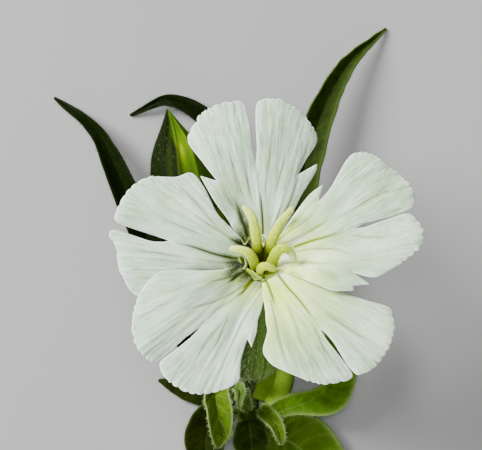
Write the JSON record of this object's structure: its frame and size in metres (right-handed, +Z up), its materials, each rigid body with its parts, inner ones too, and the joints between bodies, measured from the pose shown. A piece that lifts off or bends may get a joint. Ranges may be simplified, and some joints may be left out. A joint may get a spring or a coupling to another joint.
{
  "type": "white campion flower",
  "caption": "Picked white campion flower lying on a surface, face up: deeply notched petals round a green throat, curled styles, ribbed calyx, bud, narrow leaves and a cut stem.",
  "frame": {"origin": "on the surface it lies on, at the centre of the footprint", "axes": "+Z up, away from the surface; the cut stem points to -Y and the tips of the narrow leaves to +Y"},
  "size_m": [0.0365, 0.0592, 0.0287],
  "materials": {
    "petal": "thin white petal, matt, finely veined, greenish yellow along the veins near the throat",
    "style": "pale yellow green, minutely downy, waxy",
    "calyx": "ribbed green, thickly hairy",
    "ovary": "smooth pale green, moist",
    "stem": "green stalk with short hairs",
    "leaf": "soft green leaf, downy, with a sunken midrib",
    "bud": "ribbed green bud, short hairs"
  },
  "bodies": {
    "root": {"petal_top": "petal", "petal_right": "petal", "petal_lower_right": "petal", "petal_lower_left": "petal", "petal_left": "petal", "style_upper_left": "style", "style_upper_right": "style", "style_left": "style", "style_right": "style", "style_front": "style", "calyx": "calyx", "ovary": "ovary", "receptacle": "ovary", "pedicel": "stem", "stem": "stem", "bud_stalk": "stem", "bract_left": "leaf", "bract_right": "leaf", "leaf_right_upper": "leaf", "leaf_right_lower": "leaf", "leaf_left_folded": "leaf", "leaf_left_small": "leaf", "leaf_left_lower": "leaf", "leaf_left_back": "leaf", "leaf_front": "leaf", "leaf_right_young": "leaf", "bud_bract": "leaf", "bud": "bud"}
  },
  "joints": []
}
